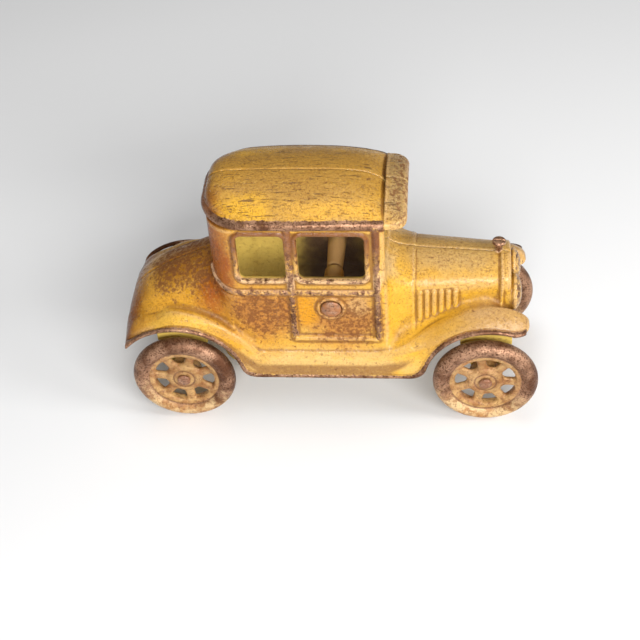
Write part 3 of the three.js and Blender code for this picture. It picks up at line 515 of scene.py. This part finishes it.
def times(tree, one, other):
    return sums(tree, "MULTIPLY", one, other)


def most(tree, one, other):
    return sums(tree, "MAXIMUM", one, other)


def vector_sums(tree, operation, one, other):
    return add(tree, "ShaderNodeVectorMath", {0: one, 1: other}, operation=operation).outputs["Vector"]


def blend(tree, share, one, other):
    return add(tree, "ShaderNodeMix", {0: share, 6: one, 7: other}, data_type="RGBA").outputs[2]


def blend_value(tree, share, one, other):
    return add(tree, "ShaderNodeMix", {0: share, 2: one, 3: other}, data_type="FLOAT").outputs[0]


def wash(tree, colour, mask, share, tint):
    """The colour with a share of the tint over it where the mask is."""
    return blend(tree, times(tree, mask, share), colour, tint)


def marked(tree, name):
    return add(tree, "ShaderNodeAttribute", attribute_name=name).outputs["Fac"]


def bumped(tree, relief, strength, depth):
    bump = {"Height": relief, "Strength": strength, "Distance": depth}
    return add(tree, "ShaderNodeBump", bump).outputs["Normal"]


# Bare iron as hands leave it: brown with paler and darker clouds, a cast grain and dark specks.
iron_dark, iron_pale, iron_pit = (0.12, 0.046, 0.02, 1), (0.42, 0.235, 0.14, 1), (0.08, 0.028, 0.011, 1)
iron_tree = bpy.data.node_groups.new("handled_iron", "ShaderNodeTree")
cast_place = millimetres(iron_tree)
cast_grain = clouds(iron_tree, cast_place, 0.55, 5, 0.65)
rust_cloud = clouds(iron_tree, cast_place, 0.13, 4, 0.6)
fine_cloud = clouds(iron_tree, cast_place, 1.5, 3, 0.6)
brown = blend(iron_tree, span(iron_tree, rust_cloud, 0.33, 0.64), iron_dark, iron_pale)
brown = blend(iron_tree, span(iron_tree, fine_cloud, 0.47, 0.66), brown, iron_pit)
specks = plus(iron_tree, fine_cloud, times(iron_tree, rust_cloud, 0.3))
iron_effects = {
    "Color": ("NodeSocketColor", brown),
    "Roughness": ("NodeSocketFloat", blend_value(iron_tree, span(iron_tree, cast_grain, 0.35, 0.7), 0.28, 0.5)),
    "Height": ("NodeSocketFloat", cast_grain),
    "Specks": ("NodeSocketFloat", span(iron_tree, specks, 0.7, 0.8)),
}
for label, (kind, value) in iron_effects.items():
    iron_tree.interface.new_socket(label, in_out="OUTPUT", socket_type=kind)
put(iron_tree, iron_tree.nodes.new("NodeGroupOutput"), {label: made[1] for label, made in iron_effects.items()})


def iron_material(name):
    made = bpy.data.materials.new(name)
    made.use_nodes = True
    tree = made.node_tree
    return made, tree, tree.nodes["Principled BSDF"], add(tree, "ShaderNodeGroup", node_tree=iron_tree).outputs


paint, tree, finish, iron_skin = iron_material("worn_yellow_paint")
place = millimetres(tree)
parts = add(tree, "ShaderNodeSeparateXYZ", {"Vector": place}).outputs
length, height = parts["X"], parts["Z"]
width = add(tree, "ShaderNodeMath", {0: parts["Y"]}, operation="ABSOLUTE").outputs["Value"]
edge, form, rubbed, inside = (marked(tree, name) for name in ("edge", "form", "rubbed", "inside"))
drift = clouds(tree, place, 0.05, 3)
mottle = clouds(tree, place, 0.17, 5, 0.65)
flecks = clouds(tree, place, 0.6, 5, 0.7)
grit = clouds(tree, place, 1.0, 4, 0.65)
streaks = clouds(tree, millimetres(tree, (0.1, 1.0, 0.5)), 1.0, 4, 0.6)
fine_streaks = clouds(tree, millimetres(tree, (0.16, 2.0, 1.0)), 1.0, 3, 0.6)
waver = add(tree, "ShaderNodeTexNoise", {"Vector": place, "Scale": 0.12, "Detail": 3}).outputs["Color"]
waver = vector_sums(tree, "SUBTRACT", waver, (0.5, 0.5, 0.5))
waver = vector_sums(tree, "MULTIPLY", waver, (12.0, 12.0, 12.0))
spread = add(tree, "ShaderNodeCombineXYZ", {"X": length, "Y": width, "Z": height}).outputs["Vector"]
spread = vector_sums(tree, "ADD", spread, waver)


def patch(centre, reach):
    """Mask of a soft wavering spot, in millimetres, on both sides of the toy."""
    away = vector_sums(tree, "SUBTRACT", spread, centre)
    away = vector_sums(tree, "DIVIDE", away, reach)
    away = add(tree, "ShaderNodeVectorMath", {0: away}, operation="LENGTH").outputs["Value"]
    return span(tree, away, 1.4, 0.55)


# The sound paint: golden, deeper in the hollows, paler on the forms that hands rub, then place by place, with
# painted light on some patches and painted shade on others.
gold_deep, gold_light = (0.55, 0.29, 0.03, 1), (0.6, 0.335, 0.055, 1)
gold_rubbed, gold_hollow, gold_rear = (0.54, 0.33, 0.115, 1), (0.68, 0.36, 0.02, 1), (0.57, 0.255, 0.014, 1)
colour = blend(tree, span(tree, drift, 0.35, 0.65), gold_deep, gold_light)
colour = wash(tree, colour, span(tree, form, 0.02, 0.5), 0.5, gold_rubbed)
colour = blend(tree, span(tree, form, -0.05, -0.7), colour, gold_hollow)
colour = wash(tree, colour, span(tree, length, 10, -55), 0.65, gold_rear)
for centre, reach, tint in (
        ((27, 20, 58), (9, 10, 24), (0.62, 0.34, 0.03, 1)),  # side of the cowl
        ((-10, 2, 101), (40, 22, 8), (0.41, 0.215, 0.035, 1)),  # top of the roof
        ((-27, 17, 97), (13, 7, 6), (0.66, 0.35, 0.02, 1)),  # roof's rear shoulder
        ((2, 18, 97), (22, 5, 5), (0.62, 0.33, 0.04, 1)),  # roof's side shoulder
        ((28, 0, 98), (6, 24, 8), (0.38, 0.24, 0.09, 1)),  # visor
        ((47, 0, 66), (22, 13, 5), (0.44, 0.265, 0.08, 1)),  # top of the hood
        ((66, 22, 50), (15, 9, 9), (0.43, 0.245, 0.08, 1)),  # top of the front fender
        ((60, 27, 37), (24, 4, 8), (0.47, 0.25, 0.05, 1)),  # edge of the front fender, painted shade darkening its lower sweep
        ((-43, 17, 74), (9, 15, 26), (0.3, 0.065, 0.0, 1)),  # rear corner of the cab: deep orange paint, darkened further as painted shade
        ((-60, 1, 63), (24, 15, 9), (0.31, 0.12, 0.006, 1)),  # deck
        ((-83, 12, 42), (10, 26, 18), (0.22, 0.065, 0.002, 1)),  # tail: worn paint, darkened further as painted shade
        ((-24, 22, 53), (14, 6, 13), (0.42, 0.16, 0.02, 1)),  # side behind the door
        ((6, 22, 50), (15, 6, 14), (0.43, 0.175, 0.028, 1)),  # door
        ((13, 22, 57), (5, 6, 6), (0.52, 0.28, 0.09, 1)),  # door's upper front corner
        ((-8, 22, 54), (6, 8, 8), (0.6, 0.25, 0.0, 1)),  # door's upper rear corner
        ((-57, 24, 50), (17, 4, 8), (0.64, 0.36, 0.05, 1)),  # top of the rear fender
        ((24, 14, 72), (5, 12, 6), (0.62, 0.41, 0.17, 1)),  # top of the cowl, painted lighter where the visor's shadow falls
        ((-4, 27, 27), (40, 4, 8), (0.66, 0.41, 0.13, 1))):  # running board: paler worn paint, with painted highlight
    colour = blend(tree, patch(centre, reach), colour, tint)

# Wear: tan rubbed paint with painted highlight on the edges, brown dirt with painted shade in the corners,
# grit, rust on the doors and deck, scratches on the roof.
edge_tan_and_highlight, corner_dirt_and_shade = (0.6, 0.37, 0.16, 1), (0.18, 0.065, 0.008, 1)
grit_dark, grit_light = (0.24, 0.09, 0.01, 1), (0.74, 0.46, 0.1, 1)
rust_brown, scratch_dark, speck_dark = (0.15, 0.045, 0.01, 1), (0.11, 0.05, 0.015, 1), (0.12, 0.045, 0.01, 1)
# Tan on convex edges: rubbed paint, partly a painted highlight.
colour = wash(tree, colour, span(tree, edge, 0.12, 0.7), 0.4, edge_tan_and_highlight)
# Darker in creases and corners: dirt, partly painted shade.
colour = wash(tree, colour, span(tree, edge, -0.06, -0.6), 0.75, corner_dirt_and_shade)
gritty = plus(tree, 0.3, times(tree, span(tree, height, 38, 62), 0.25))
colour = wash(tree, colour, span(tree, grit, 0.48, 0.72), gritty, grit_dark)
colour = wash(tree, colour, span(tree, grit, 0.46, 0.3), 0.3, grit_light)
worn_panel = most(tree, patch((-24, 22, 52), (13, 6, 13)), patch((8, 22, 49), (14, 6, 12)))
worn_panel = most(tree, worn_panel, patch((-60, 4, 62), (24, 16, 10)))
worn_panel = most(tree, worn_panel, times(tree, patch((29, 6, 97), (6, 22, 6)), 0.8))
rust = plus(tree, flecks, times(tree, worn_panel, 0.15))
rust = span(tree, plus(tree, rust, times(tree, drift, 0.15)), 0.66, 0.77)
colour = wash(tree, colour, rust, 0.75, rust_brown)
top = span(tree, height, 92, 99)
scratches = most(tree, streaks, minus(tree, fine_streaks, 0.02))
scratches = span(tree, plus(tree, scratches, times(tree, top, 0.04)), 0.64, 0.7)
scratches = times(tree, scratches, most(tree, top, 0.15))
colour = wash(tree, colour, scratches, 0.8, scratch_dark)
colour = wash(tree, colour, iron_skin["Specks"], gritty, speck_dark)

# Brown upper pillars, tan sills with painted highlight, and bare iron where the paint has gone from beads, band
# and lips.
pillar_brown, sill_tan_and_highlight, end_brown = (0.2, 0.07, 0.012, 1), (0.62, 0.4, 0.23, 1), (0.17, 0.05, 0.008, 1)
upper = times(tree, span(tree, height, 74, 88), span(tree, height, 95, 92))
upper = times(tree, upper, span(tree, rubbed, 0.1, 0.35))
colour = wash(tree, colour, upper, 0.8, pillar_brown)
sill_wear_and_highlight = times(tree, span(tree, height, 62, 66), span(tree, height, 74, 70))
sill_wear_and_highlight = times(tree, sill_wear_and_highlight, span(tree, rubbed, 0.05, 0.4))
# Pinkish tan on the sills: rubbed paint, partly a painted highlight.
colour = wash(tree, colour, sill_wear_and_highlight, 0.6, sill_tan_and_highlight)
bare = span(tree, plus(tree, times(tree, rubbed, 0.6), times(tree, flecks, 1.4)), 0.95, 1.15)
colour = blend(tree, bare, colour, iron_skin["Color"])
dark_ends = most(tree, patch((-50, 10, 97), (10, 18, 7)), patch((-82, 14, 36), (8, 16, 8)))
dark_ends = most(tree, dark_ends, times(tree, upper, 0.9))
colour = wash(tree, colour, dark_ends, 0.7, end_brown)

# Inside, dull dusty yellow painted brighter for light through the windows, painted shade low down in the cab,
# and a rubbed post.
dust_deep_painted_lit, dust_pale_painted_lit, dust_spot = (0.54, 0.38, 0.07, 1), (0.66, 0.46, 0.1, 1), (0.27, 0.13, 0.025, 1)
painted_cab_shade, post_tan = (0.06, 0.028, 0.008, 1), (0.5, 0.29, 0.11, 1)
# The dust colours are painted brighter than the dust is, as painted light on the inner walls.
dusty_lit_and_shaded = blend(tree, mottle, dust_deep_painted_lit, dust_pale_painted_lit)
dusty_lit_and_shaded = wash(tree, dusty_lit_and_shaded, span(tree, flecks, 0.5, 0.7), 0.4, dust_spot)
# Painted shade low in the cab, where the roof and pillars keep the light out.
dusty_lit_and_shaded = blend(tree, patch((1, 24, 38), (18, 13, 46)), dusty_lit_and_shaded, painted_cab_shade)
dusty_lit_and_shaded = blend(tree, patch((1.8, 6, 55), (6, 13, 7)), dusty_lit_and_shaded, post_tan)
colour = blend(tree, inside, colour, dusty_lit_and_shaded)

bare = times(tree, bare, minus(tree, 1.0, most(tree, inside, dark_ends)))
film = blend_value(tree, span(tree, mottle, 0.35, 0.65), 0.26, 0.42)
film = blend_value(tree, span(tree, most(tree, edge, form), 0.05, 0.5), film, 0.17)
film = blend_value(tree, most(tree, rust, inside), film, 0.75)
lost = most(tree, bare, most(tree, rust, scratches))
relief = minus(tree, iron_skin["Height"], times(tree, lost, 0.3))
relief = minus(tree, relief, times(tree, grit, 0.35))
put(tree, finish, {
    "Base Color": colour,
    "Metallic": blend_value(tree, bare, 0.0, 0.75),
    "Specular IOR Level": 0.36,
    "Roughness": blend_value(tree, bare, film, iron_skin["Roughness"]),
    "Normal": bumped(tree, relief, 0.8, 0.0004),
})
for half in halves:
    half.data.materials.append(paint)

# Rivet through both doors.
# A soft iron rivet through the posts of both halves, set in the rings on the doors and peened over. It holds
# the halves together, and its heads are worn to bare brown metal.
rivet_profile = [(1.9, 22.4), (3.9, 22.4), (3.95, 22.7), (3.6, 23.2), (2.6, 23.5), (1.2, 23.63), (0.0, 23.65)]
rivet_sides, rivet_tint = 40, (0.32, 0.115, 0.03, 1)


def turned_piece(name, profile, sides, centre):
    """A turned rod from its profile of radius and distance from the middle, the same at both ends."""
    rings = [(r, -t) for r, t in reversed(profile)] + profile
    angles = np.linspace(0, 2 * np.pi, sides, endpoint=False)
    corners = [(centre[0] + r * np.sin(a), centre[1] + t, centre[2] + r * np.cos(a))
               for r, t in rings for a in angles]
    quads = []
    for ring in range(len(rings) - 1):
        for side in range(sides):
            start, end = ring * sides + side, ring * sides + (side + 1) % sides
            quads.append((start, end, end + sides, start + sides))
    return cast_piece(name, np.array(corners) * metre, np.array(quads)[:, ::-1])


rivet = turned_piece("door_rivet", rivet_profile, rivet_sides, (rivet_x + middle_x, 0, rivet_z + axle_height))
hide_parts("body_rivet")
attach(rivet, "body")


def bare_metal(name, tint, share, metallic):
    metal, tree, finish, iron_skin = iron_material(name)
    patches = span(tree, clouds(tree, millimetres(tree), 0.35, 4, 0.6), 0.35, 0.65)
    put(tree, finish, {
        "Base Color": wash(tree, iron_skin["Color"], patches, share, tint),
        "Metallic": metallic,
        "Roughness": iron_skin["Roughness"],
        "Normal": bumped(tree, iron_skin["Height"], 0.7, 0.0004),
    })
    return metal


rivet.data.materials.append(bare_metal("rivet_iron", rivet_tint, 0.9, 0.1))

# Axles.
# Plain steel rods, brown with rust. They lie loose in the webs under the fenders, and their ends are headed
# over outside the hubs, which keeps the wheels on.
axle_profile = [(1.6, 27.7), (2.6, 27.7), (2.6, 28.2), (2.3, 28.6), (1.5, 28.75), (0.0, 28.8)]
axle_sides, axle_tint = 32, (0.22, 0.08, 0.032, 1)
axle_metal = bare_metal("axle_steel", axle_tint, 0.8, 0.2)
for name, axle_x in (("front_axle", front_axle_x), ("rear_axle", rear_axle_x)):
    axle = turned_piece("rod_" + name, axle_profile, axle_sides, (axle_x + middle_x, 0, axle_height))
    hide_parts(name)
    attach(axle, name + "_rod")
    axle.data.materials.append(axle_metal)

# Wheels.
# Each wheel is one iron casting: a fat round tyre, a thin rim, seven spokes with rounded openings between
# them and a ringed hub. It runs loose on its axle, rusty on the tyre, with remains of paint low down.
wheel_grain, wheel_start, wheel_inner, half_track = 0.32, -21.2, -7.0, 25.7
wx = np.arange(wheel_start, 21.3, wheel_grain, dtype=np.float32)[:, None, None]
wy = np.arange(wheel_inner, 5.0, wheel_grain, dtype=np.float32)[None, :, None]
wz = np.arange(wheel_start, 21.3, wheel_grain, dtype=np.float32)[None, None, :]
tyre_ring, tyre_thick = 17.1, 3.38
rim_radius, rim_half_height, rim_half_depth, rim_edge = 13.3, 1.1, 1.9, 1.2
web_half_depth, web_radius = 1.15, 14
hub_radius, hub_back, hub_face, hub_edge = 3.7, -5.8, 1.75, 0.6
hub_ring, hub_ring_y, hub_ring_round, hub_ring_fillet = 5.3, 1.0, 0.85, 0.5
boss_radius, boss_back, boss_face, boss_fillet = 6.3, -5.2, 1.3, 0.6
spoke_half, spoke_edge, opening_inner, opening_outer, opening_round = 1.95, 1.5, 7.3, 12.1, 1.6
rim_fillet, tyre_fillet, hub_fillet = 1.2, 0.5, 1.0
seventh = 2 * np.pi / 7
front_turn, rear_turn = 74, 98
from_hub = np.hypot(wx, wz)
tyre = np.hypot(from_hub - tyre_ring, wy) - tyre_thick
rim_band = np.abs(from_hub - rim_radius) - rim_half_height
rim_band = round_over(rim_band, np.abs(wy) - rim_half_depth, rim_edge)
disc = np.maximum(np.abs(wy) - web_half_depth, from_hub - web_radius)
hub = round_over(from_hub - hub_radius, np.maximum(hub_back - wy, wy - hub_face), hub_edge)
hub = run_in(hub, np.hypot(from_hub - hub_ring, wy - hub_ring_y) - hub_ring_round, hub_ring_fillet)
boss = np.maximum(from_hub - boss_radius, np.maximum(boss_back - wy, wy - boss_face))
hub = run_in(hub, boss, boss_fillet)

spoke_dark, spoke_pale = (0.33, 0.14, 0.035, 1), (0.55, 0.33, 0.12, 1)
tyre_dark, tyre_pale = (0.42, 0.2, 0.06, 1), (0.66, 0.45, 0.22, 1)
chip_dark, hollow_dark = (0.14, 0.05, 0.015, 1), (0.13, 0.05, 0.015, 1)
rusty, tree, finish, iron_skin = iron_material("wheel_iron")
place = millimetres(tree)
parts = add(tree, "ShaderNodeSeparateXYZ", {"Vector": place}).outputs
on_front_wheel = times(tree, sums(tree, "GREATER_THAN", parts["X"], 0.0), front_axle_x - rear_axle_x)
fore = minus(tree, plus(tree, parts["X"], -rear_axle_x - middle_x), on_front_wheel)
mottle = clouds(tree, place, 0.22, 5, 0.65)
flecks = clouds(tree, place, 0.8, 4, 0.65)
on_tyre, edge = marked(tree, "tyre"), marked(tree, "edge")
low_rear = plus(tree, times(tree, fore, -0.15), times(tree, parts["Z"], -0.9))
low_rear = span(tree, plus(tree, low_rear, times(tree, mottle, 26.0)), -4, 10)
spoke_paint = blend(tree, span(tree, mottle, 0.35, 0.62), spoke_dark, spoke_pale)
tyre_paint = blend(tree, span(tree, mottle, 0.42, 0.6), tyre_dark, tyre_pale)
painted = blend(tree, on_tyre, spoke_paint, tyre_paint)
painted = wash(tree, painted, span(tree, flecks, 0.5, 0.68), 0.75, chip_dark)
painted = wash(tree, painted, span(tree, edge, -0.1, -0.6), 0.75, hollow_dark)
bare = minus(tree, 1.0, times(tree, low_rear, 0.9))
bare = times(tree, bare, blend_value(tree, on_tyre, 0.3, 1.0))
relief = minus(tree, iron_skin["Height"], times(tree, flecks, 0.5))
put(tree, finish, {
    "Base Color": blend(tree, bare, painted, iron_skin["Color"]),
    "Metallic": blend_value(tree, bare, 0.0, 0.6),
    "Specular IOR Level": 0.32,
    "Roughness": iron_skin["Roughness"],
    "Normal": bumped(tree, relief, 0.9, 0.0005),
})

wheel_edge_full, tyre_start, tyre_fade = 0.1, 13.8, 0.6
wheel_grid_start = np.array([wheel_start, wheel_inner, wheel_start])
for name, turn_degrees, axle_x, side in (
        ("wheel_front_right", front_turn, front_axle_x, -1), ("wheel_front_left", front_turn, front_axle_x, 1),
        ("wheel_rear_right", rear_turn, rear_axle_x, -1), ("wheel_rear_left", rear_turn, rear_axle_x, 1)):
    from_spoke = np.arctan2(wz, wx) - math.radians(turn_degrees)
    from_spoke = np.abs((from_spoke + seventh / 2) % seventh - seventh / 2)
    opening = spoke_half - from_hub * np.sin(seventh / 2 - from_spoke)
    opening = round_over(opening, opening_inner - from_hub, opening_round)
    opening = round_over(opening, from_hub - opening_outer, opening_round)
    wheel = run_in(round_over(disc, -opening, spoke_edge), rim_band, rim_fillet)
    wheel = run_in(run_in(wheel, tyre, tyre_fillet), hub, hub_fillet)
    wheel = np.maximum(wheel, axle_bore - from_hub)
    corners, quads = skinned(wheel, wheel_grid_start, wheel_grain)
    places = (corners - wheel_grid_start) / wheel_grain
    worn_edge = np.clip(read_at(blurred(wheel, edge_reach), places) / wheel_edge_full, -1, 1)
    tyre_share = np.clip((np.hypot(corners[:, 0], corners[:, 2]) - tyre_start) / tyre_fade, 0, 1)
    corners = (corners + (axle_x + middle_x, half_track, axle_height)) * (metre, metre * side, metre)
    piece = cast_piece("cast_" + name, corners, quads if side > 0 else quads[:, ::-1])
    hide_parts(name)
    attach(piece, name.replace("wheel_", "") + "_wheel")
    mark(piece, "edge", worn_edge)
    mark(piece, "tyre", tyre_share)
    piece.data.materials.append(rusty)

# Floor and light.
# A pale plain sheet under the toy. A long soft lamp stands low at the front right, a small one ahead and a
# weak one overhead, in a weak even surround.
floor_half, floor_grey = 6, (0.78, 0.78, 0.78, 1)
floor_corners = [(-floor_half, -floor_half, 0), (floor_half, -floor_half, 0),
                 (floor_half, floor_half, 0), (-floor_half, floor_half, 0)]
floor_mesh = bpy.data.meshes.new("pale_floor")
floor_mesh.from_pydata(floor_corners, [], [(0, 1, 2, 3)])
floor = bpy.data.objects.new("pale_floor", floor_mesh)
bpy.context.scene.collection.objects.link(floor)
floor_paint = bpy.data.materials.new("pale_floor")
floor_paint.use_nodes = True
floor_finish = floor_paint.node_tree.nodes["Principled BSDF"]
put(floor_paint.node_tree, floor_finish, {"Base Color": floor_grey, "Roughness": 0.9})
floor_mesh.materials.append(floor_paint)

surround = bpy.data.worlds.new("soft_surround")
surround.use_nodes = True
even_light = surround.node_tree.nodes["Background"]
put(surround.node_tree, even_light, {"Color": (1, 1, 1, 1), "Strength": 0.15})
bpy.context.scene.world = surround

lit_point = Vector((0, 0, 0.04))
for name, place, length, width, power in (
        ("window_light", (0.28, -0.72, 0.5), 0.8, 0.2, 11.6),
        ("front_light", (0.75, -0.2, 0.5), 0.3, 0.3, 3.0),
        ("top_light", (-0.1, 0.1, 1.0), 0.6, 0.6, 3.0)):
    light = bpy.data.lights.new(name, "AREA")
    light.shape = "RECTANGLE"
    light.size, light.size_y = length, width
    light.energy = power
    soft_lamp = bpy.data.objects.new(name, light)
    soft_lamp.location = place
    soft_lamp.rotation_euler = (lit_point - Vector(place)).to_track_quat("-Z", "Y").to_euler()
    bpy.context.scene.collection.objects.link(soft_lamp)

# Camera.
# Stands in front of the right side of the toy and looks well down on it, tilted a little as the photograph is.
sensor_width, focal_pixels, picture_pixels = 36, 1367.9, 640
camera_place, camera_turn, camera_down, camera_roll = (0.04449, -0.39897, 0.40929), 7.144, 43.524, -4.479
lens_data = bpy.data.cameras.new("camera")
lens_data.sensor_width = sensor_width
lens_data.lens = sensor_width * focal_pixels / picture_pixels
lens_data.clip_start = 0.01
camera = bpy.data.objects.new("camera", lens_data)
turn_and_tilt = (Matrix.Rotation(math.radians(camera_turn), 4, "Z")
                 @ Matrix.Rotation(math.radians(90 - camera_down), 4, "X"))
roll = Matrix.Rotation(math.radians(camera_roll), 4, "Z")
camera.matrix_world = Matrix.Translation(camera_place) @ turn_and_tilt @ roll
bpy.context.scene.collection.objects.link(camera)
bpy.context.scene.camera = camera
bpy.context.scene.view_settings.view_transform = "Standard"
